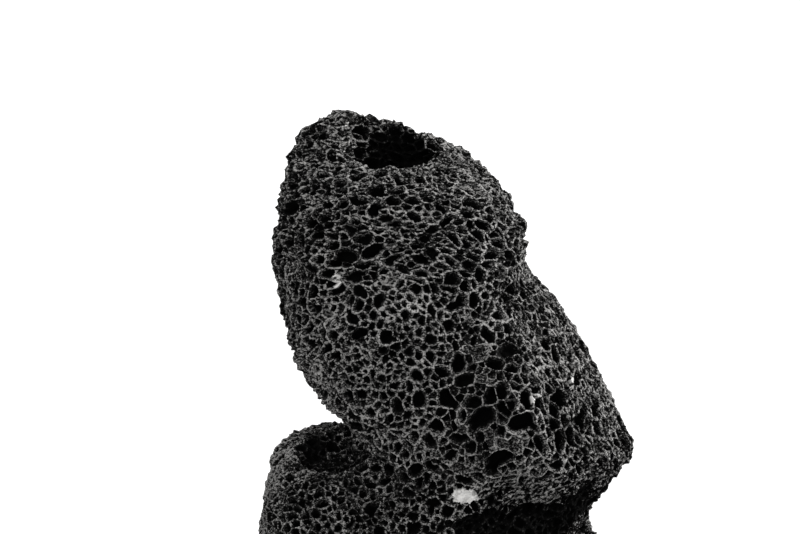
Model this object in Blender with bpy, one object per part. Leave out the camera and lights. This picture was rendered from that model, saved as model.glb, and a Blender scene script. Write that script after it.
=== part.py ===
"""Lava rock: one lump of frothy basalt that stands on the flat break under its foot.

The lump is a leaning head over a trunk, with a nose to the right, a low shoulder block to
the left, a crater in the crown and gas holes (vesicles) all over. Sizes are millimetres;
the origin is the middle of the foot, on the ground. +X is right and -Y is the front.
"""
import math

import bmesh
import bpy
from mathutils import Matrix, Vector, noise
from mathutils.bvhtree import BVHTree

MM = 0.001

# Lobes: rows of (height, left, right, front, back), the four sides of one level section.
HEAD = (
    (169.5, -34, -28, 8, 17),
    (165.5, -41, -20, 5, 23),
    (160.5, -46.5, -6, 2, 28),
    (155, -50, 8, -8, 33),
    (149.5, -51.5, 16, -17, 36),
    (143, -53, 22, -24, 38),
    (132, -55, 27.5, -32, 41),
    (121, -56, 27, -38, 42),
    (108, -53, 27, -41, 42),
    (92, -51, 30, -43, 41),
    (79, -42.5, 33, -43, 38),
    (68, -32.5, 36, -42, 33),
    (50, -31, 38, -42, 33),
    (25, -34, 38, -44, 37),
    (-6, -36, 40, -44, 38),
)
NOSE = (
    (120, 6, 25.5, -14, 22),
    (114, -2, 31, -26, 29),
    (105, -8, 39, -35, 35),
    (92, -12, 48, -43, 38),
    (80, -14, 54.5, -48, 38),
    (67, -14, 60, -50, 36),
    (58.5, -12, 66, -47, 34),
    (51, -8, 59, -41, 32),
    (43, -5, 55.5, -33, 30),
    (36, -5, 51, -28, 30),
    (28, -5, 50.5, -28, 33),
    (19, -8, 56, -34, 38),
    (8, -10, 58, -38, 41),
    (-6, -10, 54, -38, 40),
)
SHOULDER = (
    (60.5, -39, -22, 4, 24),
    (57, -51, -19, -12, 30),
    (52.5, -56.5, -16, -30, 33),
    (43, -59, -14, -40, 35),
    (28, -60.5, -12, -44, 37),
    (12, -63.5, -12, -46, 39),
    (-6, -63, -12, -44, 37),
)
LOBES = ((HEAD, 2.4), (NOSE, 1.8), (SHOULDER, 2.8))   # squareness: 2 is an ellipse
SECTION_POINTS = 36

# Hollows: (centre, radii, turn about Y in degrees).
CRATER = (
    ((-20, 4, 157), (10.5, 13, 18), 10),
    ((-10, 4, 153), (8, 11, 15), 25),
    ((-24.5, 7, 162), (6.5, 9, 13), 0),
    ((-15, 6, 144), (11, 11, 12), 0),
)
DENTS = (
    ((-35, -11, 63), (16, 21, 11), -6),      # the dish on top of the shoulder
    ((-24, -34, 56), (11, 12, 9), 0),        # its deep end beside the trunk
    ((-11, -50, 72), (4, 8, 15), 6),         # the valley down the front of the trunk
    ((28, -52, 30), (27, 18, 13), -4),       # the undercut below the nose
    ((30, -35, 108), (4, 12, 13), -35),      # the crease between head and nose
    ((-36, 14, 64), (6, 26, 3.5), 0),        # the nick between head and shoulder
    ((-30, -52, 12), (3.5, 10, 30), 4),      # the valley between shoulder and trunk
    ((44, 30, 84), (12, 14, 20), 20),        # the scoop behind the nose
    ((-14, 50, 78), (22, 12, 9), 12),        # the long scoop across the back
    ((16, 47, 22), (14, 10, 12), 0),         # the scoop at the back of the foot
)

# Large vesicles on the front: (across, height, width, tall side of the opening).
FRONT_VESICLES = (
    (13.5, 78, 10.5, 8.5), (18.5, 65, 11, 5), (12.5, 98, 7, 7), (5, 95.5, 8, 4.5),
    (6.5, 90, 7, 5), (14.5, 87, 5.5, 5), (0.7, 85.5, 5.5, 5.5), (-26, 150, 6, 4),
    (25.5, 76.5, 8.5, 8), (-1.5, 75.5, 5.5, 5), (9, 69, 5, 4.5), (23.5, 69.5, 6, 5.5),
    (16, 59.5, 6, 4.5), (2.5, 65, 5.5, 6), (-21, 137, 10.5, 5.5), (-8, 142, 7, 4),
    (-14, 109, 6, 4.5), (4, 115, 7.5, 4.5), (12, 110, 7, 4.5), (-38, 137, 6, 4),
    (-48, 118, 5, 5), (-20.5, 126.5, 7, 4.5), (-31, 96, 5, 4.5), (5, 128, 7, 4),
)
# The rest follow a spiral round the lump, so that no side is bare.
SPIRAL_VESICLES = 330
SPIRAL_TURN = math.radians(137.5)
SPIRAL_HEIGHTS = (6, 160)
SPIRAL_WIDTHS = (9, 5.5, 7, 5, 8, 6)
VESICLE_WALL = 2.6            # least stone left between the openings of two vesicles
VESICLE_DEPTH = 0.62          # half height of its cutter, over the opening's mean size
VESICLE_SINK = 0.3            # how far the cutter's middle lies under the skin

UNION_VOXEL = 1.6
SKIN_VOXEL = 1.1
SOFTEN_STEPS = 5
LUMPS = ((3.4, 27.0), (1.5, 11.0), (0.6, 4.6))     # (height, spacing) of the uneven skin
LUMP_SHARE_AT_SIDES = 0.35
FACES = 9900
STONE_COLOUR = (0.035, 0.034, 0.034, 1.0)
STONE_ROUGHNESS = 0.92


def clear_scene():
    for obj in list(bpy.data.objects):
        bpy.data.objects.remove(obj, do_unlink=True)


def link(name, mesh):
    obj = bpy.data.objects.new(name, mesh)
    bpy.context.scene.collection.objects.link(obj)
    return obj


def section(squareness, height, left, right, front, back):
    """One level section: a rounded box between its four sides."""
    points = []
    for step in range(SECTION_POINTS):
        angle = 2 * math.pi * step / SECTION_POINTS
        reach = [math.copysign(abs(t) ** (2 / squareness), t)
                 for t in (math.cos(angle), math.sin(angle))]
        across = (left + right) / 2 + (right - left) / 2 * reach[0]
        along = (front + back) / 2 + (back - front) / 2 * reach[1]
        points.append(Vector((across, along, height)) * MM)
    return points


def add_lobe(bm, rows, squareness):
    """A closed lobe through level sections, given from the top down."""
    rings = [[bm.verts.new(point) for point in section(squareness, *row)] for row in rows]
    for upper, lower in zip(rings, rings[1:]):
        for i in range(SECTION_POINTS):
            j = (i + 1) % SECTION_POINTS
            bm.faces.new((upper[i], lower[i], lower[j], upper[j]))
    bm.faces.new(rings[0])
    bm.faces.new(reversed(rings[-1]))


def add_hollow(bm, centre, radii, turn):
    """An egg-shaped cutter."""
    place = (Matrix.Translation(Vector(centre) * MM)
             @ Matrix.Rotation(math.radians(turn), 4, "Y")
             @ Matrix.Diagonal((*(Vector(radii) * MM), 1)))
    bmesh.ops.create_icosphere(bm, subdivisions=3, radius=1, matrix=place)


def mesh_from(bm, name):
    bmesh.ops.recalc_face_normals(bm, faces=bm.faces)
    mesh = bpy.data.meshes.new(name)
    bm.to_mesh(mesh)
    bm.free()
    return mesh


def apply_modifiers(obj):
    """Replace the object's mesh with what its modifiers make of it."""
    shape = obj.evaluated_get(bpy.context.evaluated_depsgraph_get())
    mesh = bpy.data.meshes.new_from_object(shape)
    obj.modifiers.clear()
    obj.data = mesh


def fuse(obj, voxel):
    """Melt overlapping lobes or cutters into one even skin."""
    remesh = obj.modifiers.new("fuse", "REMESH")
    remesh.mode = "VOXEL"
    remesh.voxel_size = voxel * MM
    apply_modifiers(obj)


def cut(obj, cutter):
    cutter.hide_render = True
    cutter.display_type = "WIRE"
    boolean = obj.modifiers.new("cut", "BOOLEAN")
    boolean.operation = "DIFFERENCE"
    boolean.solver = "EXACT"
    boolean.object = cutter
    apply_modifiers(obj)
    bpy.data.objects.remove(cutter, do_unlink=True)


def soften(obj, steps):
    smooth = obj.modifiers.new("soften", "SMOOTH")
    smooth.factor = 0.5
    smooth.iterations = steps
    apply_modifiers(obj)


def roughen(obj):
    """Raise the uneven lumps of broken stone, most of all on the front and the back."""
    normals = [vertex.normal.copy() for vertex in obj.data.vertices]
    for vertex, normal in zip(obj.data.vertices, normals):
        rise = 0.0
        for height, spacing in LUMPS:
            rise += height * noise.noise(vertex.co / (spacing * MM))
        share = LUMP_SHARE_AT_SIDES + (1 - LUMP_SHARE_AT_SIDES) * abs(normal.y)
        vertex.co += normal * rise * share * MM


def build_form():
    """The lump without its vesicles."""
    bm = bmesh.new()
    for rows, squareness in LOBES:
        add_lobe(bm, rows, squareness)
    rock = link("lava_rock", mesh_from(bm, "lava_rock"))
    fuse(rock, UNION_VOXEL)
    bm = bmesh.new()
    for hollow in CRATER + DENTS:
        add_hollow(bm, *hollow)
    hollows = link("hollows", mesh_from(bm, "hollows"))
    fuse(hollows, UNION_VOXEL)
    cut(rock, hollows)
    fuse(rock, UNION_VOXEL)
    soften(rock, SOFTEN_STEPS)
    roughen(rock)
    return rock


def front_rays():
    """Where each placed vesicle is looked for: (start, direction, width, tall side)."""
    for across, height, width, tall in FRONT_VESICLES:
        yield Vector((across, -120, height)) * MM, Vector((0, 1, 0)), width, tall


def spiral_rays():
    low, high = SPIRAL_HEIGHTS
    for i in range(SPIRAL_VESICLES):
        angle = i * SPIRAL_TURN
        height = low + (high - low) * (i + 0.5) / SPIRAL_VESICLES
        outward = Vector((math.cos(angle), math.sin(angle), 0))
        axis = Vector((-14 if height > 70 else -3, 0, height)) * MM
        width = SPIRAL_WIDTHS[i % len(SPIRAL_WIDTHS)]
        yield axis + outward * 150 * MM, -outward, width, width * 0.8


def vesicle_sites(rock):
    """The vesicles that have room: (point on the skin, its normal, width, tall side)."""
    skin = BVHTree.FromObject(rock, bpy.context.evaluated_depsgraph_get())
    sites = []
    for start, direction, width, tall in (*front_rays(), *spiral_rays()):
        point, normal, _, _ = skin.ray_cast(start, direction)
        if point is None:
            continue
        crowded = any((point - other).length < ((width + size) / 2 + VESICLE_WALL) * MM
                      for other, _, size, _ in sites)
        if not crowded:
            sites.append((point, normal, width, tall))
    return sites


def build_vesicles(rock):
    """Egg-shaped cutters sunk in the skin, each lying along the surface."""
    bm = bmesh.new()
    for point, normal, width, tall in vesicle_sites(rock):
        side = Vector((0, 0, 1)).cross(normal).normalized()
        turn = Matrix((side, normal.cross(side), normal)).transposed().to_4x4()
        depth = VESICLE_DEPTH * (width + tall) / 2
        place = (Matrix.Translation(point - normal * depth * VESICLE_SINK * MM) @ turn
                 @ Matrix.Diagonal((*(Vector((width / 2, tall / 2, depth)) * MM), 1)))
        bmesh.ops.create_icosphere(bm, subdivisions=2, radius=1.06, matrix=place)
    vesicles = link("vesicles", mesh_from(bm, "vesicles"))
    fuse(vesicles, SKIN_VOXEL * 0.6)
    return vesicles


def thin_out(obj):
    """Keep about FACES triangles, most of them where the skin bends."""
    bm = bmesh.new()
    bm.from_mesh(obj.data)
    bmesh.ops.triangulate(bm, faces=bm.faces)
    bm.to_mesh(obj.data)
    bm.free()
    decimate = obj.modifiers.new("thin out", "DECIMATE")
    decimate.ratio = FACES / len(obj.data.polygons)
    apply_modifiers(obj)


def break_foot(obj):
    """Break the foot off flat at ground level."""
    bm = bmesh.new()
    bm.from_mesh(obj.data)
    everything = bm.verts[:] + bm.edges[:] + bm.faces[:]
    sliced = bmesh.ops.bisect_plane(bm, geom=everything, dist=1e-6, plane_co=(0, 0, 0),
                                    plane_no=(0, 0, 1), clear_inner=True)
    rim = [item for item in sliced["geom_cut"] if isinstance(item, bmesh.types.BMEdge)]
    bmesh.ops.contextual_create(bm, geom=rim)
    bm.to_mesh(obj.data)
    bm.free()


def centre(obj):
    """Put the origin under the middle of the lump, seen from above."""
    across = [vertex.co.x for vertex in obj.data.vertices]
    along = [vertex.co.y for vertex in obj.data.vertices]
    middle = Vector((min(across) + max(across), min(along) + max(along), 0)) / 2
    obj.data.transform(Matrix.Translation(-middle))


def stone():
    material = bpy.data.materials.new("lava stone")
    material.use_nodes = True
    surface = material.node_tree.nodes["Principled BSDF"]
    surface.inputs["Base Color"].default_value = STONE_COLOUR
    surface.inputs["Roughness"].default_value = STONE_ROUGHNESS
    surface.inputs["Metallic"].default_value = 0.0
    return material


def main():
    clear_scene()
    rock = build_form()
    cut(rock, build_vesicles(rock))
    fuse(rock, SKIN_VOXEL)
    thin_out(rock)
    break_foot(rock)
    centre(rock)
    rock.data.materials.clear()
    rock.data.materials.append(stone())


main()
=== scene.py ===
"""Looks of the lava rock: a skin of froth cells, its stone, the pale set, lights and camera.

Lengths are metres in the meshes, and millimetres in the named values unless a comment
says metres.
"""
import math

import bpy
import numpy as np
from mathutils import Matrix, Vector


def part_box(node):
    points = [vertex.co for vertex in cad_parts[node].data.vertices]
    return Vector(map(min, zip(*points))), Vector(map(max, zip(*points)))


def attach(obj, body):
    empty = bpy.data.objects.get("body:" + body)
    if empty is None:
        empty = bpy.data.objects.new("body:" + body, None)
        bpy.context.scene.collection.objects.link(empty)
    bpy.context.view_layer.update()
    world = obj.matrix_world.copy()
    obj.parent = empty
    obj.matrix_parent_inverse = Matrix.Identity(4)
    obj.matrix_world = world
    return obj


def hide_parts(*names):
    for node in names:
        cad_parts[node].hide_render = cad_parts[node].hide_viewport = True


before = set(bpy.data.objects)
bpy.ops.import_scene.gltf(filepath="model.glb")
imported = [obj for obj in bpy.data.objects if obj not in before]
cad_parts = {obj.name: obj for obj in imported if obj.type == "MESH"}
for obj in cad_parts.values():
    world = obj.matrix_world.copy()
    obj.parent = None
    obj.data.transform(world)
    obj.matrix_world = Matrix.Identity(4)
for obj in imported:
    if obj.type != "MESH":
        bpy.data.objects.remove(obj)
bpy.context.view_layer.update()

import openvdb
from mathutils import Vector, kdtree, noise
from mathutils.bvhtree import BVHTree

MM = 0.001
SEED = 20

# The skin that the cells are laid out on: the solid with its vesicles filled level.
SKIN_VOXEL = 0.55
FILL_RADIUS = 4.5
FOOT_LEVEL = 0.35             # below this height the skin is the flat foot

# The parts of the rock. Each pair runs from where a part begins to where it is whole, or
# for an END from where it fades to where it is gone. Heights, but ACROSS is left to right.
CROWN_UP = (112, 128)
FLANK_ACROSS, FLANK_UP, FLANK_END = (-5, 5), (44, 54), (118, 126)
FLANK_EDGE, FLANK_LEAN = 24, 0.28     # where the flank's edge is at the top, and its lean
FLANK_MARGIN = 8              # how far left of that edge FLANK_ACROSS is centred
UNDERCUT_ACROSS, UNDERCUT_END = (0, 12), (66, 74)
SHOULDER_ACROSS_END, SHOULDER_END = (-32, -24), (62, 68)
BELLY_ACROSS, BELLY_UP, BELLY_END = (-6, 6), (54, 60), (98, 112)
SLOPE_ACROSS_END, SLOPE_UP, SLOPE_END = (-36, -28), (60, 70), (108, 118)
FACING_FRONT = (0.0, 0.5)     # how far a face has to turn to count as facing that way
FACING_BACK = (0.2, 0.5)
FACING_DOWN = (0.15, 0.45)

# The largest and smallest mouth radius of the cells, by part.
USUAL_LARGEST = 2.2
LARGEST = {"crown": 2.4, "flank": 2.3, "shoulder": 1.7, "under": 1.2, "belly": 3.1}
USUAL_SMALLEST = 1.08
COARSER_BACK = 0.12
FINER_FLANK = 0.2

# Which way the cells are drawn out, by part, and how much longer that makes them.
USUAL_PULL = (0.12, 0.0, 0.0)
PULLS = {"crown": (0.95, 0, -0.1), "flank": (0.5, -0.25, -0.75), "under": (0.8, -0.2, 0.5),
         "belly": (0.1, 0, 0.15)}
UNEVEN_PULL = 0.3

# Sowing: mouth radii from large to small, and how many places are tried for each.
RADII = (2.9, 2.3, 1.85, 1.5, 1.25, 1.08, 0.86)
TRIES = (300, 520, 700, 1100, 2000, 60000, 60000)
RADIUS_SPREAD = (0.9, 1.1)
ROUNDING = 1.01               # lets a radius equal to the smallest one pass
PATCH_SPACING = 11.0          # patches of coarser and finer froth
PATCH_SWING = 0.55
PACKING = 0.93                # spacing of two cells over the sum of their radii
AMPLE_ROOM = RADII[0] * 9     # where no cell is near
LOOK_ROUND = 1.4              # how far round a new cell the room is worked out again

# Cells placed one by one on the front: (across, height, radius).
PLACED = (
    (12.8, 79.5, 5.0), (25, 78, 4.2), (18, 66.5, 3.9), (23, 71, 2.7), (12.5, 98, 3.3),
    (5, 95.5, 3.2), (6.5, 90, 3.0), (12, 91, 1.8), (14.5, 87, 2.6), (9, 84, 2.7),
    (0.7, 85.5, 2.7), (-1.5, 75.5, 2.7), (9, 69.5, 2.4), (8.5, 65, 2.6), (18.5, 71, 2.3),
    (16, 61, 2.4), (2.5, 65.5, 2.8), (4.5, 72, 2.2), (11, 73, 1.9), (22, 84, 1.9),
)
PLACED_FACING = 0.2           # how far the skin faces the front where these may lie

# Growing: each point of the skin is compared with so many large and small cells near it.
LARGE_CELL = RADII[2]
NEAR_LARGE, NEAR_SMALL = 6, 12
BATCHES = 40                  # the points are worked out in parts, to save memory
WARP_SIZE = 1.8               # bends in the walls: wavelength and reach
WARP = 0.5
LEAST_PATCH = 5               # skin faces in the smallest cell
STRAY_ROUNDS = 6
JOINED_SHARE = 0.11           # cells that have broken through into a neighbour
SHORTEST_OPENING = 4          # skin edges in the wall between them

WALL_SMOOTHING = 3            # rounds of smoothing, and how far each one goes
SMOOTHING_STEP = 0.6
WALL_STEP = 5                 # skin edges to each straight stretch of wall

# Unevenness of the crests: (wavelength, height) of each layer, the ledges that run
# round the crown, and single notches.
RELIEF = ((7.5, 0.8), (3.2, 0.6))
LEDGES = ((7.0, 7.0, 2.8), 2.4)
NOTCH = 0.42
NOTCH_LIMIT = 1.6             # the deepest and highest notch, against NOTCH
RAGGED = 0.7                  # how much deeper the notches are on the left slope
CALM_FOOT = (0, 6)            # heights from no unevenness to all of it

# The pits: a sloping lip, then walls that narrow to a floor.
LIP_WIDTH = 0.5
LIP_SPREAD = (0.4, 1.6)
LIP_LOSS = {"flank": 0.2, "belly": 0.6, "crown": 0.28}
SLIGHT_LIP = 0.3              # narrower lips than this are left off small cells
SMALLEST_LIPPED = 0.95
LIPPED_RADIUS = 1.6
LIP_DROP = 0.55
DROP_BIAS = 1.5               # above 1, slight drops are the more common
LEAST_MOUTH = 0.5             # mouth inside the widest lip, against the whole cell
LEAST_DEPTH = 0.8
DEPTH_SHARE = (0.6, 1.2)      # depth over radius
DEEPEST = 4.0
FLOOR_SHARE = (0.45, 0.7)

# Shallow cells: (share of the cells, largest radius, what is left of the depth).
SHALLOW = (0.14, 2, 0.3)
SHALLOW_BELLY = (0.3, 4, 0.45)
CRUST_FILLS = 0.85            # how far crust fills a cell

# Painted light on the walls inside the pits, the wider pits painted lighter: radii from dark to
# lit, and the spread.
INNER_RADII = (0.9, 2.2)
INNER_SPREAD = (0.1, 1)
INNER_BIAS = 1.3

# How closed-in places are told from open ones, for painted shade in the closed-in ones.
SIGHT_LINES = 48
SIGHT_START = 2               # how far off the cell a line of sight starts
REACH = 60

# Painted light and painted shade in given places, over how open they lie: (centre, half sizes,
# shade); the crater is painted black.
PAINTED_LIGHT_AND_SHADE_PLACES = (
    ((-20.0, -10.0, 164.0), (42.0, 45.0, 14.0), 1.08),
    ((-14.5, 10.0, 153.0), (13.5, 14.0, 15.5), 0.0),
    ((-40.0, -12.0, 76.0), (14.0, 26.0, 12.0), 1.12),
    ((-56.0, 0.0, 124.0), (13.0, 50.0, 44.0), 0.66),
    ((3.0, -38.0, 108.0), (15.0, 20.0, 10.0), 0.72),
    ((-22.0, -40.0, 89.0), (19.0, 25.0, 17.0), 0.75),
    ((-14.0, -38.0, 102.0), (7.0, 20.0, 7.0), 0.62),
    ((16.0, -40.0, 82.0), (21.0, 25.0, 19.0), 1.02),
    ((-22.0, -35.0, 36.0), (46.0, 32.0, 29.0), 0.57),
    ((46.0, 0.0, 88.0), (19.0, 60.0, 30.0), 1.0),
    ((62.0, -5.0, 56.0), (10.0, 40.0, 12.0), 0.55),
    ((26.0, -35.0, 82.0), (9.0, 25.0, 14.0), 1.15),
    ((6.0, -10.0, 152.0), (7.0, 22.0, 9.0), 1.2),
)
PLACE_EDGE = (0.75, 1.15)     # where such a place fades, against its half sizes

# Painted shadow under the brow over the undercut: (across, height, how far below it the painted
# shadow turns dark).
BROW = ((-6, 24, 12), (0, 40, 10), (5, 49.5, 9), (13, 53.5, 12), (26, 58.5, 18), (39, 62, 20),
        (52, 63, 16), (64, 60, 11))
BROW_SHADE = 1.2
BROW_FADE = (0.1, 1)          # share of the way down to dark, from lightest to darkest
BROW_EDGE = (0, 4)            # how far under the brow its painted shadow begins and is whole
BROW_FOOT = (0, 42)           # heights from no shade to all of it
BROW_BACK = (-38, 26)         # where it fades towards the back
WANDER = 7.0                  # how far the edge of that painted shadow wanders, and how finely
WANDER_SIZE = 13.0
STREAKED_UNDER = (-2, 3)      # streaks under the brow, on what faces the front
STREAKED_FACING = (-0.2, 0.2)

# Pale mineral crusts on the front: (across, height, half width, half height, how pale).
CRUSTS = ((7.2, 52.0, 4.0, 2.2, 1), (-34, 120, 1.4, 3.0, 0.9), (29.5, 85.5, 1.6, 1.2, 1),
          (43, 87, 1.5, 1.1, 0.9), (22.5, 83, 1.5, 1.0, 0.6), (-31, 165, 2.6, 2.0, 0.4))
CRUST_EDGE = (0.5, 1.5)
CRUST_FACING = (0.0, 0.3)
LARGEST_CRUSTED = 11.0        # cells with a wider mouth than this, in mm2, stay clear

# Small broken grains of wall on the crests.
GRAINS_EACH_MM2 = 0.6
GRAIN_SIZE = (0.2, 0.5)
GRAIN_BIAS = 2.0              # above 1, small grains are the more common
GRAIN_STRETCH = (0.5, 1.2)
GRAIN_LEVEL = 0.45            # deepest place of a grain under the crest
GRAIN_SIDES, GRAIN_RINGS = 3, 2

# The stone's colours, and how far its mid tones are pushed apart.
# The darkest colour below is painted shade: deep pits, closed-in places, the crater and the
# undercut are painted towards it.
PAINTED_SHADE_COLOUR = (0.0008, 0.0008, 0.0007, 1)
CREST_COLOUR = (0.46, 0.453, 0.443, 1)
CRUST_COLOUR = (0.92, 0.91, 0.89, 1)
CONTRAST = 1.5
CONTRAST_GAIN = 1.72
STONE_ROUGHNESS = 0.95
STONE_SHINE = 0.08

# Painted shade that deepens with depth under the crests, and a painted highlight on the crests,
# each from where it fades to where it is gone.
UPPER_FADE = (0.04, 0.55)
CREST_FADE = (0.02, 0.25)
WALL_FADE = (0.5, 3.0)
PORE_SIZE = 1.15              # fine pores in the lips, wider than high, their insides painted dark as shade
PORE_RIM = (0.0, 0.22)
SQUAT = (1, 1, 1.5)
PORE_BEND, UPPER_BEND, WALL_BEND = 0.3, 0.8, 1.2      # how ragged those edges are
UPPER_LIGHT, RIDGE_LIGHT, CREST_LIGHT = 0.1, 0.65, 0.5
DARKEST_WALL, WALL_LIGHT, WALL_BASE = 0.03, 0.65, 0.3

# Noise over the stone: (size, detail, roughness), and the light (from, to, darkest, lightest).
BEND = (1.3, 2.0, 0.5)
GRAIN, GRAIN_LIGHT = (0.5, 4.0, 0.7), (0.36, 0.62, 0.2, 1.6)
SPECKS, SPECK_LIGHT = (1.0, 4.0, 0.75), (0.42, 0.59, 0.02, 1.65)
PATCHES, PATCH_LIGHT = (13, 3.0, 0.5), (0.34, 0.64, 0.55, 1.25)
PATCH_SQUAT = (1, 1, 2)
STROKE, STROKE_LIGHT = (0.9, 2.0, 0.5), (0.46, 0.58, 0.1, 2.2)
STROKE_STRETCH = (3.2, 1, 0.75)

# Strokes over parts of the rock: (part, how strong, degrees down to the right).
STROKES = (("streak", 1, -35), ("flank", 0.65, 55), ("crown", 0.75, 4))

LEAST_TINT = 0.5              # the darkest cell against the lightest
OPENNESS_PAINTED_SHADE = (0.3, 0.85, 0.03, 1.0)   # openness from, to, and the painted shade at each
OPENNESS_PAINTED_LIGHT = 2                # painted light: how much lighter the stone gets past the end of that
CRUST_RAGGED, CRUST_COVER = 1.5, (0.3, 0.55)
CRUST_DEPTH = (0.6, 2.0)
CRUST_SPREAD = (0.0, 0.5)
BUMP_GRAIN = 0.4              # grain against the ridges between pores
BUMP_STRENGTH = 0.8
BUMP_HEIGHT = 0.22

FLOOR_RADIUS = 3.0            # metres
FLOOR_SIDES = 96
PAPER_COLOUR = (0.85, 0.85, 0.85, 1)
PAPER_ROUGHNESS = 0.9
PAPER_GLOW = 0.4              # evens out the shadows on the floor
WHITE = (1, 1, 1, 1)

# Soft suns: name, degrees right of the front, degrees up, width in degrees, strength.
LIGHTS = (
    ("right", 100, 8, 25, 2.6), ("upper_right", 90, 35, 25, 1.7),
    ("upper_left", -50, 35, 30, 1.3), ("front", 15, 12, 30, 0.8), ("back", 160, 40, 30, 0.8),
)
ROOM_LIGHT = 0.17             # light that the white room gives, against 1 as it is seen

# The camera, in degrees and metres, and its lens in millimetres.
CAMERA_RISE = 12.0
CAMERA_DISTANCE = 1.1
CAMERA_TARGET = (-0.0139, 0, 0.1195)
CAMERA_SIGHT = 20
FOCAL_LENGTH = 150
SENSOR_WIDTH = 36

MARK = "below"                # names the depth under the crests, which the meshes hold
MIX_ONE, MIX_OTHER, MIX_RESULT = 6, 7, 2      # the colour sockets of a Mix node
FLOAT_LOW, FLOAT_HIGH, FLOAT_RESULT = 2, 3, 1     # the number sockets of a Random node
VECTOR_LOW, VECTOR_HIGH = 0, 1


def link(name, mesh):
    obj = bpy.data.objects.new(name, mesh)
    bpy.context.scene.collection.objects.link(obj)
    return obj


# ---------------------------------------------------------------- the skin under the froth

def level_set(points, faces):
    side = "triangles" if faces.shape[1] == 3 else "quads"
    return openvdb.FloatGrid.createLevelSetFromPolygons(
        points, transform=openvdb.createLinearTransform(voxelSize=SKIN_VOXEL * MM),
        halfWidth=FILL_RADIUS / SKIN_VOXEL + 2, **{side: faces})


def filled_skin(node):
    """The node's surface, grown and shrunk again so that its vesicles are filled level."""
    mesh = node.data
    mesh.calc_loop_triangles()
    points = np.empty(len(mesh.vertices) * 3, np.float32)
    mesh.vertices.foreach_get("co", points)
    corners = np.empty(len(mesh.loop_triangles) * 3, np.int32)
    mesh.loop_triangles.foreach_get("vertices", corners)
    points = points.reshape(-1, 3)
    points, same = np.unique(np.round(points, 7), axis=0, return_inverse=True)
    faces = same.reshape(-1)[corners].reshape(-1, 3).astype(np.uint32)
    for offset in (FILL_RADIUS, -FILL_RADIUS):
        grid = level_set(points.astype(np.float32), faces)
        points, faces = grid.convertToQuads(isovalue=offset * MM)
    return points.astype(float), faces[:, ::-1].astype(np.int64)


def quad_normals(points, faces):
    a, b, c, d = (points[faces[:, i]] for i in range(4))
    normals = np.cross(c - a, d - b)
    return normals / np.linalg.norm(normals, axis=1, keepdims=True)


# ---------------------------------------------------------------- where the cells lie

def blend(low, high, value):
    """0 below low, 1 above high, smooth between."""
    t = np.clip((value - low) / (high - low), 0, 1)
    return t * t * (3 - 2 * t)


def zones(points, normals):
    """How far each point belongs to each part of the rock, from 0 to 1."""
    x, _, z = (points / MM).T
    front = blend(*FACING_FRONT, -normals[:, 1])
    edge = FLANK_EDGE + FLANK_LEAN * (FLANK_END[0] - z)
    flank = (blend(*FLANK_ACROSS, x - edge + FLANK_MARGIN) * blend(*FLANK_UP, z)
             * (1 - blend(*FLANK_END, z)))
    under = (blend(*FACING_DOWN, -normals[:, 2]) * blend(*UNDERCUT_ACROSS, x)
             * (1 - blend(*UNDERCUT_END, z)))
    shoulder = (1 - blend(*SHOULDER_ACROSS_END, x)) * (1 - blend(*SHOULDER_END, z))
    belly = (front * blend(*BELLY_ACROSS, x) * (1 - flank) * blend(*BELLY_UP, z)
             * (1 - blend(*BELLY_END, z)))
    slope = ((1 - blend(*SLOPE_ACROSS_END, x)) * blend(*SLOPE_UP, z)
             * (1 - blend(*SLOPE_END, z)))
    return {"crown": blend(*CROWN_UP, z), "flank": flank, "under": under,
            "shoulder": shoulder, "belly": belly * (1 - under), "slope": slope}


def largest_radius(points, normals):
    """The largest cell mouth that each part of the skin carries."""
    zone = zones(points, normals)
    size = np.full(len(points), USUAL_LARGEST)
    for name, radius in LARGEST.items():
        size += zone[name] * (radius - size)
    return size


def smallest_radius(points, normals):
    """The smallest cell mouth of each part; the back is a little coarser."""
    back = blend(*FACING_BACK, normals[:, 1])
    flank = zones(points, normals)["flank"]
    return USUAL_SMALLEST + COARSER_BACK * back - FINER_FLANK * flank * (1 - back)


def stretches(points, normals, rng):
    """How each cell is drawn out: (direction along the skin, how many times longer)."""
    zone = zones(points, normals)
    pull = np.tile(USUAL_PULL, (len(points), 1))
    for name, direction in PULLS.items():
        share = zone[name][:, None]
        pull = pull * (1 - share) + np.array(direction) * share
    pull += rng.normal(size=pull.shape) * UNEVEN_PULL
    pull -= normals * (pull * normals).sum(1, keepdims=True)
    length = np.linalg.norm(pull, axis=1, keepdims=True)
    return pull / np.maximum(length, 1e-6), 1 + length[:, 0]


def metrics(points, normals, rng):
    """A matrix for each point that measures distances in a drawn-out cell's own shape."""
    along, ratio = stretches(points, normals, rng)
    narrow = ratio ** 0.5
    wide = np.einsum("ni,nj->nij", along, along)
    return (np.eye(3) * narrow[:, None, None]
            + wide * (1 / narrow - narrow)[:, None, None])


def search_tree(points, numbers):
    """A tree that finds the nearest of the numbered points."""
    tree = kdtree.KDTree(len(numbers))
    for i in numbers:
        tree.insert(points[i], i)
    tree.balance()
    return tree


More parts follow.
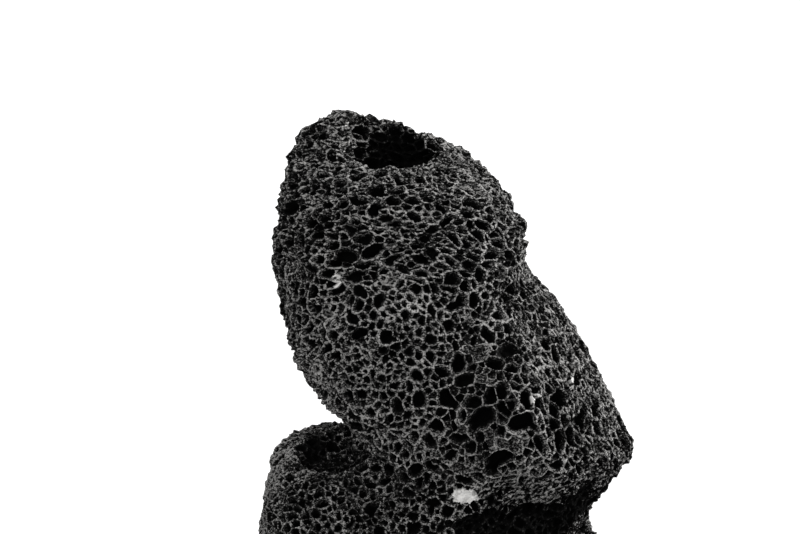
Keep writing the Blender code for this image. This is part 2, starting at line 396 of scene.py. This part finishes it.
def pack_cells(points, normals, shapes, rng):
    """Sow cells from large to small, each where it still has room: (places, radii)."""
    patchiness = np.array([noise.noise(Vector(p) / (PATCH_SPACING * MM)) for p in points])
    least = smallest_radius(points, normals)
    allowed = largest_radius(points, normals) * (1 + PATCH_SWING * patchiness)
    room = np.where(points[:, 2] > FOOT_LEVEL * MM, AMPLE_ROOM, 0.0)
    skin = search_tree(points, range(len(points)))
    chosen, radii = [], []

    def sow(i, radius):
        reach = (radius + RADII[0]) * PACKING * LOOK_ROUND * MM
        near = np.array([index for _, index, _ in skin.find_range(points[i], reach)])
        gap = np.linalg.norm((points[near] - points[i]) @ shapes[i], axis=1) / MM
        room[near] = np.minimum(room[near], gap / PACKING - radius)
        chosen.append(i)
        radii.append(radius)

    front = np.flatnonzero(normals[:, 1] < -PLACED_FACING)
    for across, height, radius in PLACED:
        off = points[front][:, (0, 2)] - np.array((across, height)) * MM
        sow(front[(off ** 2).sum(1).argmin()], radius)
    for radius, tries in zip(RADII, TRIES):
        fits = (room > radius) & (allowed > radius) & (least <= radius * ROUNDING)
        for i in rng.permutation(np.flatnonzero(fits))[:tries]:
            if room[i] > radius:
                sow(i, radius * rng.uniform(*RADIUS_SPREAD))
    return np.array(chosen), np.array(radii)


def nearest(tree, points, count):
    found = np.empty((len(points), count), np.int64)
    for row, point in enumerate(points):
        found[row] = [index for _, index, _ in tree.find_n(point, count)]
    return found


def grow_cells(points, shapes, chosen, radii):
    """The cell that each point of the skin falls to; the flat foot is the last cell."""
    bent = [noise.noise_vector(Vector(p) / (WARP_SIZE * MM)) for p in points]
    sites = points + np.array(bent) * WARP * MM
    seeds = points[chosen]
    large = np.flatnonzero(radii > LARGE_CELL)
    small = np.flatnonzero(radii <= LARGE_CELL)
    candidates = np.hstack([nearest(search_tree(seeds, group), sites, count)
                            for group, count in ((large, NEAR_LARGE), (small, NEAR_SMALL))])
    cells = np.empty(len(points), np.int64)
    for part in np.array_split(np.arange(len(points)), BATCHES):
        rows = candidates[part]
        gap = np.einsum("nkj,nkji->nki", sites[part, None] - seeds[rows], shapes[chosen][rows])
        power = (gap ** 2).sum(2) - (radii[rows] * MM) ** 2
        cells[part] = rows[np.arange(len(part)), power.argmin(1)]
    cells[points[:, 2] < FOOT_LEVEL * MM] = len(chosen)
    return cells


# ---------------------------------------------------------------- from cells to a net of walls

def half_edges(faces):
    """(start point, twin) of each directed edge, which is numbered 4 * face + corner."""
    start = faces.reshape(-1)
    end = np.roll(faces, -1, axis=1).reshape(-1)
    key = np.minimum(start, end) * (faces.max() + 1) + np.maximum(start, end)
    order = np.argsort(key, kind="stable")
    twin = np.empty(len(start), np.int64)
    twin[order[0::2]] = order[1::2]
    twin[order[1::2]] = order[0::2]
    return start, twin


def next_round(edge):
    """The directed edge that follows this one round its face."""
    return edge - edge % 4 + (edge + 1) % 4


def both_sides(labels, twin):
    """The labels of the faces on the two sides of each directed edge."""
    face = np.arange(len(twin)) // 4
    return labels[face], labels[face[twin]]


def renumber(labels):
    return np.unique(labels, return_inverse=True)[1].reshape(-1)


def split_apart(cells, twin):
    """Give each connected patch of faces its own number."""
    same = np.equal(*both_sides(cells, twin))
    left, right = both_sides(np.arange(len(cells)), twin)
    left, right = left[same], right[same]
    patch = np.arange(len(cells))
    while True:
        lowest = patch.copy()
        np.minimum.at(lowest, left, patch[right])
        lowest = lowest[lowest]
        if (lowest == patch).all():
            return renumber(patch)
        patch = lowest


def trace(patch, twin):
    """The closed outlines of each patch, as lists of directed edges."""
    outer = np.not_equal(*both_sides(patch, twin))
    border, turn, seen = outer.tolist(), twin.tolist(), [False] * len(twin)
    loops = {}
    for first in np.flatnonzero(outer).tolist():
        if seen[first]:
            continue
        loop, edge = [], first
        while not seen[edge]:
            loop.append(edge)
            seen[edge] = True
            edge = next_round(edge)
            while not border[edge]:
                edge = next_round(turn[edge])
        loops.setdefault(int(patch[first // 4]), []).append(loop)
    return loops


def merge_strays(patch, twin):
    """Give patches that are too small, or lie inside another, to their neighbour."""
    for _ in range(STRAY_ROUNDS):
        sizes = np.bincount(patch)
        left, right = both_sides(patch, twin)
        meet = left != right
        pairs = np.unique(np.stack((left[meet], right[meet])), axis=1)
        neighbours = np.bincount(pairs[0], minlength=len(sizes))
        stray = (sizes < LEAST_PATCH) | (neighbours < 2)
        if not stray.any():
            break
        into = np.arange(len(sizes))
        for one, other in pairs.T:
            if stray[one] and not stray[other]:
                into[one] = other
        patch = renumber(into[patch])
    return patch


def join_pairs(patch, twin, rng):
    """Take out the wall between some neighbours, so that cells of two lobes form."""
    left, right = both_sides(patch, twin)
    meet = left < right
    pairs, lengths = np.unique(np.stack((left[meet], right[meet])), axis=1, return_counts=True)
    free = np.ones(patch.max() + 1, bool)
    free[np.bincount(patch).argmax()] = False
    into = np.arange(len(free))
    wanted = round(JOINED_SHARE * len(free))
    for i in rng.permutation(np.flatnonzero(lengths > SHORTEST_OPENING)):
        one, other = pairs[:, i]
        if free[one] and free[other] and wanted > 0:
            into[other] = one
            free[one] = free[other] = False
            wanted -= 1
    joined = into[patch]
    ringed = [label for label, outlines in trace(joined, twin).items() if len(outlines) > 1]
    return renumber(np.where(np.isin(joined, ringed), patch, joined))


def smooth_borders(points, start, twin, border):
    """Ease the steps out of the outlines, along the outlines alone."""
    ends = np.stack((start[border], start[twin[border]]))
    count = np.maximum(np.bincount(ends[0], minlength=len(points)), 1)[:, None]
    moves = np.unique(ends[0])
    points = points.copy()
    for _ in range(WALL_SMOOTHING):
        total = np.zeros_like(points)
        np.add.at(total, ends[0], points[ends[1]])
        points[moves] += SMOOTHING_STEP * ((total / count) - points)[moves]
    return points


def wall_corners(loops, start, junction):
    """Which points stay: the junctions, and the ends of straight stretches between them."""
    keep = junction.copy()
    for loop in (loop for outlines in loops.values() for loop in outlines):
        corners = [i for i, edge in enumerate(loop) if junction[start[edge]]]
        least = 2 if len(corners) < 3 else 1
        for here, there in zip(corners, corners[1:] + corners[:1]):
            there += len(loop) if there <= here else 0
            chain = [start[loop[i % len(loop)]] for i in range(here, there + 1)]
            pieces = max(round(len(chain) / WALL_STEP), least)
            path = chain if chain[0] < chain[-1] else chain[::-1]
            for step in range(1, pieces):
                keep[path[step * (len(path) - 1) // pieces]] = True
    return keep


def wall_net(points, patch, start, twin):
    """A mesh with one many-sided face for each cell: (corner points, polygons)."""
    left, right = both_sides(patch, twin)
    border = left != right
    meeting = np.unique(np.stack((start[border], left[border])), axis=1)[0]
    junction = np.bincount(meeting, minlength=len(points)) > 2
    even = smooth_borders(points, start, twin, border)
    loops = trace(patch, twin)
    keep = wall_corners(loops, start, junction)
    outlines = [[int(start[edge]) for edge in loop[0] if keep[start[edge]]]
                for loop in loops.values()]
    polygons = [outline for outline in outlines if len(outline) > 2]
    used, corners = np.unique(np.concatenate([np.array(p) for p in polygons]),
                              return_inverse=True)
    cuts = np.cumsum([len(p) for p in polygons])[:-1]
    return even[used], [part.tolist() for part in np.split(corners.reshape(-1), cuts)]


# ---------------------------------------------------------------- node trees

class Socket:
    """An output of a node that can be used in sums, products and powers."""

    def __init__(self, tree, socket):
        self.tree, self.socket = tree, socket

    def math(self, operation, other):
        return add(self.tree, "ShaderNodeMath", {"operation": operation}, {0: self, 1: other})

    def __add__(self, other):
        return self.math("ADD", other)

    def __sub__(self, other):
        return self.math("SUBTRACT", other)

    def __rsub__(self, other):
        return (self * -1) + other

    def __mul__(self, other):
        return self.math("MULTIPLY", other)

    def __pow__(self, other):
        return self.math("POWER", other)

    __radd__ = __add__
    __rmul__ = __mul__

    def ramp(self, low, high, bottom=0.0, top=1.0):
        """bottom below low, top above high, smooth between."""
        return add(self.tree, "ShaderNodeMapRange", {"interpolation_type": "SMOOTHSTEP"},
                   {"Value": self, "From Min": low, "From Max": high,
                    "To Min": bottom, "To Max": top})

    def scaled(self, factors):
        return add(self.tree, "ShaderNodeVectorMath", {"operation": "MULTIPLY"},
                   {0: self, 1: factors})


def add(tree, kind, settings=None, inputs=None, output=0):
    """A new node with its settings and inputs; returns one of its outputs."""
    node = tree.nodes.new(kind)
    for name, value in (settings or {}).items():
        setattr(node, name, value)
    for name, value in (inputs or {}).items():
        if isinstance(value, Socket):
            tree.links.new(value.socket, node.inputs[name])
        else:
            node.inputs[name].default_value = value
    return Socket(tree, node.outputs[output])


def mix(factor, one, other):
    """The colour one where factor is 0, other where it is 1."""
    return add(factor.tree, "ShaderNodeMix", {"data_type": "RGBA"},
               {"Factor": factor, MIX_ONE: one, MIX_OTHER: other}, MIX_RESULT)


def new_group(name, inputs):
    """A geometry group with these inputs, each with its kind: (tree, input sockets)."""
    tree = bpy.data.node_groups.new(name, "GeometryNodeTree")
    for label, kind in inputs.items():
        tree.interface.new_socket(label, in_out="INPUT", socket_type="NodeSocket" + kind)
    tree.interface.new_socket("Geometry", in_out="OUTPUT", socket_type="NodeSocketGeometry")
    given = tree.nodes.new("NodeGroupInput")
    return tree, [Socket(tree, given.outputs[label]) for label in inputs]


def finish_group(geometry, stone):
    """End the group in this geometry, real and with its stone."""
    tree = geometry.tree
    dressed = add(tree, "GeometryNodeSetMaterial", {}, {"Geometry": geometry, "Material": stone})
    whole = add(tree, "GeometryNodeRealizeInstances", {}, {"Geometry": dressed})
    end = tree.nodes.new("NodeGroupOutput")
    tree.links.new(whole.socket, end.inputs["Geometry"])


def number(tree, name):
    """The number that the mesh holds under this name."""
    return add(tree, "GeometryNodeInputNamedAttribute", {"data_type": "FLOAT"}, {"Name": name})


# ---------------------------------------------------------------- pits for the cells

def sink(geometry, chosen, depth, keep):
    """Push the chosen faces in and shrink them: (geometry, their floors, their sides)."""
    tree = geometry.tree
    pushed = add(tree, "GeometryNodeExtrudeMesh", {"mode": "FACES"},
                 {"Mesh": geometry, "Selection": chosen, "Offset Scale": depth * -1,
                  "Individual": True})
    floors, sides = (Socket(tree, pushed.socket.node.outputs[name]) for name in ("Top", "Side"))
    shrunk = add(tree, "GeometryNodeScaleElements", {"domain": "FACE"},
                 {"Geometry": pushed, "Selection": floors, "Scale": keep})
    return shrunk, floors, sides


def mark(geometry, chosen, name, value, domain="POINT"):
    """Keep a number under this name on the chosen elements."""
    return add(geometry.tree, "GeometryNodeStoreNamedAttribute",
               {"data_type": "FLOAT", "domain": domain},
               {"Geometry": geometry, "Selection": chosen, "Name": name, "Value": value})


def pit_tree():
    """Sinks every cell of the wall net into a pit, with a lip first on the larger ones."""
    tree, (net, drop_scale, depth_scale, stone) = new_group("Froth pits", {
        "Geometry": "Geometry", "Drop scale": "Float", "Depth scale": "Float",
        "Stone": "Material"})
    drop = number(tree, "drop") * drop_scale
    lipped, lips, rims = sink(net, number(tree, "lip"), drop, number(tree, "mouth"))
    lipped = mark(lipped, lips, MARK, drop)
    lipped = mark(lipped, rims, "done", 1.0, "FACE")
    depth = number(tree, "depth") * depth_scale
    open_cells = 1 - number(tree, "done")
    pitted, floors, _ = sink(lipped, open_cells, depth, number(tree, "floor"))
    finish_group(mark(pitted, floors, MARK, number(tree, MARK) + depth), stone)
    return tree


def store(mesh, name, values, domain="FACE"):
    """Keep one number for each face, or each point, of the mesh."""
    mesh.attributes.new(name, "FLOAT", domain).data.foreach_set(
        "value", np.asarray(values, np.float32))


def face_numbers(mesh, name, width=1):
    values = np.empty(len(mesh.polygons) * width)
    mesh.polygons.foreach_get(name, values)
    return values.reshape(-1, width) if width > 1 else values


def wall_mesh(points, polygons, foot, box, rng):
    """The net of cell walls, its crests made uneven, with the flat foot at the bottom."""
    mesh = bpy.data.meshes.new("cell_walls")
    mesh.from_pydata(points.tolist(), [], polygons)
    outward = np.array([v.vector for v in mesh.vertex_normals])
    zone = zones(points, outward)
    notches = rng.normal(size=len(points)).clip(-NOTCH_LIMIT, NOTCH_LIMIT)
    rise = NOTCH * notches * (1 + RAGGED * zone["slope"])
    for size, height in RELIEF:
        rise += [height * noise.noise(Vector(p) / (size * MM)) for p in points]
    size, height = LEDGES
    rise += zone["crown"] * [height * noise.noise(Vector(p / size / MM)) for p in points]
    above = blend(*CALM_FOOT, points[:, 2] / MM)
    points = points + outward * (rise * above * MM)[:, None]
    points = np.clip(points, box[0], box[1])
    points[polygons[foot], 2] = 0
    mesh.vertices.foreach_set("co", points.ravel())
    mesh.update()
    return mesh


def sight_lines():
    """Directions spread evenly over the sphere."""
    golden = math.pi * (3 - 5 ** 0.5)
    heights = [1 - 2 * (i + 0.5) / SIGHT_LINES for i in range(SIGHT_LINES)]
    return [Vector((math.cos(golden * i) * (1 - h * h) ** 0.5,
                    math.sin(golden * i) * (1 - h * h) ** 0.5, h))
            for i, h in enumerate(heights)]


def openness(mesh, node):
    """How much of the room each cell sees past the rest of the rock, from 0 to 1, for painted
    shade.
    """
    rock = BVHTree.FromPolygons([v.co for v in node.data.vertices],
                                [list(f.vertices) for f in node.data.polygons])
    lines = sight_lines()
    seen = np.empty(len(mesh.polygons))
    for i, face in enumerate(mesh.polygons):
        start = face.center + face.normal * SIGHT_START * MM
        weights = [(max(line.dot(face.normal), 0.0), line) for line in lines]
        free = sum(w for w, line in weights if w and not rock.ray_cast(start, line, REACH * MM)[0])
        seen[i] = free / sum(w for w, _ in weights)
    return seen


def within(points, centre, halves):
    """1 well inside an ellipsoid, 0 outside it."""
    off = (points / MM - centre) / halves
    return 1 - blend(*PLACE_EDGE, np.linalg.norm(off, axis=1))


def crusted(points, normals):
    """How much mineral crust lies at each point, from 0 to 1."""
    x, _, z = (points / MM).T
    front = blend(*CRUST_FACING, -normals[:, 1])
    pale = np.zeros(len(points))
    for across, height, wide, tall, share in CRUSTS:
        off = np.hypot((x - across) / wide, (z - height) / tall)
        pale = np.maximum(pale, front * share * (1 - blend(*CRUST_EDGE, off)))
    return pale


def brow_painted_shadow(centres):
    """(how far under the brow each cell lies, its share of the painted shadow there, the painted
    shade).
    """
    wander = [noise.noise_vector(Vector(p) / (WANDER_SIZE * MM)) for p in centres]
    x, y, z = (centres / MM + WANDER * np.array(wander)).T
    across, height, fade = zip(*BROW)
    under = np.interp(x, across, height) - z
    share = (1 - blend(*BROW_BACK, y)) * blend(*BROW_EDGE, under) * blend(*BROW_FOOT, z)
    fading = blend(*BROW_FADE, under / np.interp(x, across, fade))
    return under, share, BROW_SHADE * (1 - fading)


def colour_cells(mesh, node, rng):
    """Mark each cell's painted light and shade, streaks and tint; returns how crusted each one is.
    """
    centres, normals = (face_numbers(mesh, name, 3) for name in ("center", "normal"))
    # Painted shade in closed-in cells, by how open they lie.
    light = openness(mesh, node)
    # Painted light and shade in given places.
    for centre, halves, shade in PAINTED_LIGHT_AND_SHADE_PLACES:
        light += within(centres, np.array(centre), np.array(halves)) * (shade - light)
    # Painted shadow under the brow, over the undercut.
    under, share, shade = brow_painted_shadow(centres)
    light += share * (shade - light)
    store(mesh, "painted_shading", light)
    facing = blend(*STREAKED_FACING, -normals[:, 1])
    store(mesh, "streak", blend(*STREAKED_UNDER, under) * facing)
    for name in ("flank", "crown"):
        store(mesh, name, zones(centres, normals)[name])
    store(mesh, "tint", rng.random(len(centres)))
    corners = np.array([v.co for v in mesh.vertices])
    outward = np.array([v.vector for v in mesh.vertex_normals])
    store(mesh, "pale", crusted(corners, outward), "POINT")
    return crusted(centres, normals) * (face_numbers(mesh, "area") < LARGEST_CRUSTED * MM ** 2)


def pit_depths(radius, zone, rng):
    """The depth of each cell, some of them shallow."""
    count = len(radius)
    depth = LEAST_DEPTH + radius * rng.uniform(*DEPTH_SHARE, count)
    for (share, below, left), where in ((SHALLOW, 1), (SHALLOW_BELLY, zone["belly"])):
        depth[(rng.random(count) < share * where) & (radius < below)] *= left
    return np.clip(depth, 0, DEEPEST)


def shape_cells(mesh, foot, pale, rng):
    """Give each cell its lip, mouth, depth and floor, and the painted light on the walls inside
    it.
    """
    count = len(mesh.polygons)
    zone = zones(face_numbers(mesh, "center", 3), face_numbers(mesh, "normal", 3))
    radius = np.sqrt(face_numbers(mesh, "area") / math.pi) / MM
    share = np.ones(count)
    for name, loss in LIP_LOSS.items():
        share -= loss * zone[name]
    lip = LIP_WIDTH * share * rng.uniform(*LIP_SPREAD, count)
    lipped = ((lip > SLIGHT_LIP) & (radius > SMALLEST_LIPPED)) | (radius > LIPPED_RADIUS)
    depth = pit_depths(radius, zone, rng) * (1 - CRUST_FILLS * pale)
    lipped[foot], depth[foot] = False, 0
    store(mesh, "lip", lipped)
    store(mesh, "drop", rng.random(count) ** DROP_BIAS * LIP_DROP * MM)
    store(mesh, "mouth", np.where(lipped, np.clip(1 - lip / radius, LEAST_MOUTH, 1), 1))
    store(mesh, "depth", depth * MM)
    store(mesh, "floor", np.where(np.arange(count) == foot, 1, rng.uniform(*FLOOR_SHARE, count)))
    # Painted light inside the pits, more of it in the wider ones.
    store(mesh, "inner_painted_light", blend(*INNER_RADII, radius)
          * rng.uniform(*INNER_SPREAD, count) ** INNER_BIAS)


# ---------------------------------------------------------------- grains on the crests

def grain_tree():
    """Small broken grains of wall, lying about on the crests."""
    tree, (pitted, density, small, large, level, seed, stone) = new_group("Froth grains", {
        "Geometry": "Geometry", "Density": "Float", "Smallest": "Float", "Largest": "Float",
        "Level": "Float", "Seed": "Int", "Stone": "Material"})
    points = add(tree, "GeometryNodeDistributePointsOnFaces", {"distribute_method": "RANDOM"},
                 {"Mesh": pitted, "Density": density, "Seed": seed})
    points = add(tree, "GeometryNodeDeleteGeometry", {"domain": "POINT"},
                 {"Geometry": points,
                  "Selection": number(tree, MARK).math("GREATER_THAN", level)})
    grain = add(tree, "GeometryNodeMeshUVSphere", {},
                {"Segments": GRAIN_SIDES, "Rings": GRAIN_RINGS, "Radius": 1.0})
    turn = add(tree, "FunctionNodeRandomValue", {"data_type": "FLOAT_VECTOR"},
               {VECTOR_HIGH: (math.tau,) * 3, "Seed": seed})
    least, most = GRAIN_STRETCH
    shape = add(tree, "FunctionNodeRandomValue", {"data_type": "FLOAT_VECTOR"},
                {VECTOR_LOW: (least,) * 3, VECTOR_HIGH: (most,) * 3, "Seed": seed + 1})
    width = add(tree, "FunctionNodeRandomValue", {"data_type": "FLOAT"},
                {FLOAT_LOW: 0.0, FLOAT_HIGH: 1.0, "Seed": seed + 2}, FLOAT_RESULT)
    size = small + (large - small) * width ** GRAIN_BIAS
    grains = add(tree, "GeometryNodeInstanceOnPoints", {},
                 {"Points": points, "Instance": grain, "Rotation": turn,
                  "Scale": shape.scaled(size)})
    finish_group(grains, stone)
    return tree


def grown(mesh, tree, values):
    """The mesh as the node tree makes it with these values, as a plain mesh."""
    rig = link("rig", mesh)
    growth = rig.modifiers.new("Growth", "NODES")
    growth.node_group = tree
    for item in tree.interface.items_tree:
        if item.in_out == "INPUT" and item.name in values:
            growth[item.identifier] = values[item.name]
    seen = rig.evaluated_get(bpy.context.evaluated_depsgraph_get())
    made = bpy.data.meshes.new_from_object(seen)
    bpy.data.objects.remove(rig)
    return made


# ---------------------------------------------------------------- stone

def held(tree, name):
    """The number that the mesh holds under this name, for a material."""
    return add(tree, "ShaderNodeAttribute", {"attribute_name": name}, output="Fac")


def clouds(where, size, detail, roughness):
    """Noise whose pattern repeats about once in size millimetres."""
    return add(where.tree, "ShaderNodeTexNoise", {},
               {"Vector": where, "Scale": 1 / (size * MM), "Detail": detail,
                "Roughness": roughness})


def strokes(place, share, slant):
    """Thin bright strokes that run slant degrees down to the right, where share is 1."""
    along = add(place.tree, "ShaderNodeMapping", {"vector_type": "TEXTURE"},
                {"Vector": place, "Rotation": (0, math.radians(slant), 0),
                 "Scale": STROKE_STRETCH})
    return 1 - share * (1 - clouds(along, *STROKE).ramp(*STROKE_LIGHT))


def painted_depth_light(place, below, inner_painted_light):
    """(painted shade by depth in the froth with a painted highlight on the crests, the ridges
    between its pores).
    """
    bend = clouds(place, *BEND) - 0.5
    pores = add(place.tree, "ShaderNodeTexVoronoi", {"feature": "DISTANCE_TO_EDGE"},
                {"Vector": place.scaled(SQUAT), "Scale": 1 / (PORE_SIZE * MM)})
    ridge = 1 - (pores + bend * PORE_BEND).ramp(*PORE_RIM)
    upper = 1 - (below + bend * UPPER_BEND).ramp(*UPPER_FADE)
    crest = 1 - below.ramp(*CREST_FADE)
    walls = 1 - (below + bend * WALL_BEND).ramp(*WALL_FADE)
    light = upper * (UPPER_LIGHT + RIDGE_LIGHT * ridge + CREST_LIGHT * crest)
    return light + (DARKEST_WALL + WALL_LIGHT * inner_painted_light) * walls * (WALL_BASE + ridge), ridge


def stone_tone_and_painted_light(place, painted_relief, grain, specks):
    """How light the bare stone is, its painted light and shade included: 0 in the pits, 1 or more
    on the brightest crests.
    """
    tree = place.tree
    light = painted_relief * grain.ramp(*GRAIN_LIGHT) * specks.ramp(*SPECK_LIGHT)
    for name, share, slant in STROKES:
        light = light * strokes(place, held(tree, name) * share, slant)
    light = light * (LEAST_TINT + (1 - LEAST_TINT) * held(tree, "tint"))
    light = light * clouds(place.scaled(PATCH_SQUAT), *PATCHES).ramp(*PATCH_LIGHT)
    # Painted shade in closed-in places, and painted light on the most open ones.
    seen = held(tree, "painted_shading")
    painted_open_light = 1 + (seen - OPENNESS_PAINTED_SHADE[1]) * OPENNESS_PAINTED_LIGHT
    light = light * seen.ramp(*OPENNESS_PAINTED_SHADE) * painted_open_light.math("MAXIMUM", 1)
    return light ** CONTRAST * CONTRAST_GAIN


def crust_cover(below, specks, pale):
    """How far crust covers the stone, ragged at its edge and gone in the deep."""
    cover = (pale + (specks - 0.5) * CRUST_RAGGED).ramp(*CRUST_COVER)
    return cover * (1 - below.ramp(*CRUST_DEPTH)) * pale.ramp(*CRUST_SPREAD)


def stone_material():
    material = bpy.data.materials.new("vesicular_basalt")
    material.use_nodes = True
    tree = material.node_tree
    shader = tree.nodes["Principled BSDF"]
    shader.inputs["Roughness"].default_value = STONE_ROUGHNESS
    shader.inputs["Specular IOR Level"].default_value = STONE_SHINE
    place = add(tree, "ShaderNodeTexCoord", output="Object")
    below = held(tree, MARK) * (1 / MM)
    grain = clouds(place, *GRAIN)
    specks = clouds(place.scaled(SQUAT), *SPECKS)
    painted_relief, ridge = painted_depth_light(place, below, held(tree, "inner_painted_light"))
    # Mixed from the painted shade colour up to the crest colour.
    stone = mix(stone_tone_and_painted_light(place, painted_relief, grain, specks), PAINTED_SHADE_COLOUR, CREST_COLOUR)
    stone = mix(crust_cover(below, specks, held(tree, "pale")), stone, CRUST_COLOUR)
    tree.links.new(stone.socket, shader.inputs["Base Color"])
    bump = add(tree, "ShaderNodeBump", {}, {"Strength": BUMP_STRENGTH,
                                            "Distance": BUMP_HEIGHT * MM,
                                            "Height": grain * BUMP_GRAIN + ridge})
    tree.links.new(bump.socket, shader.inputs["Normal"])
    return material


# ---------------------------------------------------------------- set, lights and camera

def aim(obj, place, target):
    obj.location = place
    obj.rotation_euler = (Vector(target) - Vector(place)).to_track_quat("-Z", "Y").to_euler()


def soft_light(name, turn, rise, spread, strength):
    """Even light from turn degrees right of the front and rise degrees up."""
    light = bpy.data.lights.new(name, "SUN")
    light.angle = math.radians(spread)
    light.energy = strength
    turn, rise = math.radians(turn), math.radians(rise)
    place = (math.sin(turn) * math.cos(rise), -math.cos(turn) * math.cos(rise), math.sin(rise))
    aim(link(name, light), place, (0, 0, 0))


def paper_material():
    paper = bpy.data.materials.new("pale_paper")
    paper.use_nodes = True
    shader = paper.node_tree.nodes["Principled BSDF"]
    shader.inputs["Base Color"].default_value = PAPER_COLOUR
    shader.inputs["Roughness"].default_value = PAPER_ROUGHNESS
    shader.inputs["Emission Color"].default_value = WHITE
    shader.inputs["Emission Strength"].default_value = PAPER_GLOW
    return paper


def build_floor():
    turns = [math.tau * i / FLOOR_SIDES for i in range(FLOOR_SIDES)]
    ring = [(FLOOR_RADIUS * math.cos(turn), FLOOR_RADIUS * math.sin(turn), 0) for turn in turns]
    mesh = bpy.data.meshes.new("floor")
    mesh.from_pydata(ring, [], [list(range(FLOOR_SIDES))])
    mesh.materials.append(paper_material())
    floor = link("floor", mesh)
    floor.visible_diffuse = floor.visible_glossy = False


def build_room():
    """A room that is seen white, and lights the rock only a little."""
    world = bpy.data.worlds.new("white_room")
    bpy.context.scene.world = world
    bpy.context.scene.view_settings.view_transform = "Standard"
    world.use_nodes = True
    tree = world.node_tree
    seen = add(tree, "ShaderNodeLightPath", output="Is Camera Ray")
    back = tree.nodes["Background"]
    back.inputs["Color"].default_value = WHITE
    tree.links.new(seen.ramp(0, 1, ROOM_LIGHT, 1.0).socket, back.inputs["Strength"])


def build_camera():
    lens = bpy.data.cameras.new("camera")
    lens.lens = FOCAL_LENGTH
    lens.sensor_width = SENSOR_WIDTH
    lens.clip_end = CAMERA_SIGHT
    camera = link("camera", lens)
    rise = math.radians(CAMERA_RISE)
    target = Vector(CAMERA_TARGET)
    aim(camera, target + Vector((0, -math.cos(rise), math.sin(rise))) * CAMERA_DISTANCE, target)
    bpy.context.scene.camera = camera


# ---------------------------------------------------------------- the rock

def keep_inside(mesh, box):
    points = np.empty(len(mesh.vertices) * 3)
    mesh.vertices.foreach_get("co", points)
    points = np.clip(points.reshape(-1, 3), box[0], box[1])
    mesh.vertices.foreach_set("co", points.ravel())
    mesh.update()


def froth_walls(node, rng):
    """The net of cell walls over the node's skin, with all that its cells are given."""
    points, faces = filled_skin(node)
    centres, normals = points[faces].mean(axis=1), quad_normals(points, faces)
    shapes = metrics(centres, normals, rng)
    chosen, radii = pack_cells(centres, normals, shapes, rng)
    cells = grow_cells(centres, shapes, chosen, radii)
    start, twin = half_edges(faces)
    patch = join_pairs(merge_strays(split_apart(cells, twin), twin), twin, rng)
    corners, polygons = wall_net(points, patch, start, twin)
    foot = int(np.argmax([len(p) for p in polygons]))
    walls = wall_mesh(corners, polygons, foot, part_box("lava_rock"), rng)
    shape_cells(walls, foot, colour_cells(walls, node, rng), rng)
    return walls


def build_rock():
    noise.seed_set(SEED)
    walls = froth_walls(bpy.data.objects["lava_rock"], np.random.default_rng(SEED))
    stone = stone_material()
    pitted = grown(walls, pit_tree(), {"Drop scale": 1.0, "Depth scale": 1.0,
                                       "Stone": stone})
    grains = grown(pitted, grain_tree(), {
        "Density": GRAINS_EACH_MM2 / MM ** 2, "Smallest": GRAIN_SIZE[0] * MM,
        "Largest": GRAIN_SIZE[1] * MM, "Level": GRAIN_LEVEL * MM, "Seed": SEED, "Stone": stone})
    keep_inside(grains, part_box("lava_rock"))
    for name, mesh in (("rock_froth", pitted), ("rock_grains", grains)):
        piece = link(name, mesh)
        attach(piece, "root")
        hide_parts("lava_rock")


def main():
    build_rock()
    build_floor()
    build_room()
    build_camera()
    for name, turn, rise, spread, strength in LIGHTS:
        soft_light(name, turn, rise, spread, strength)


main()
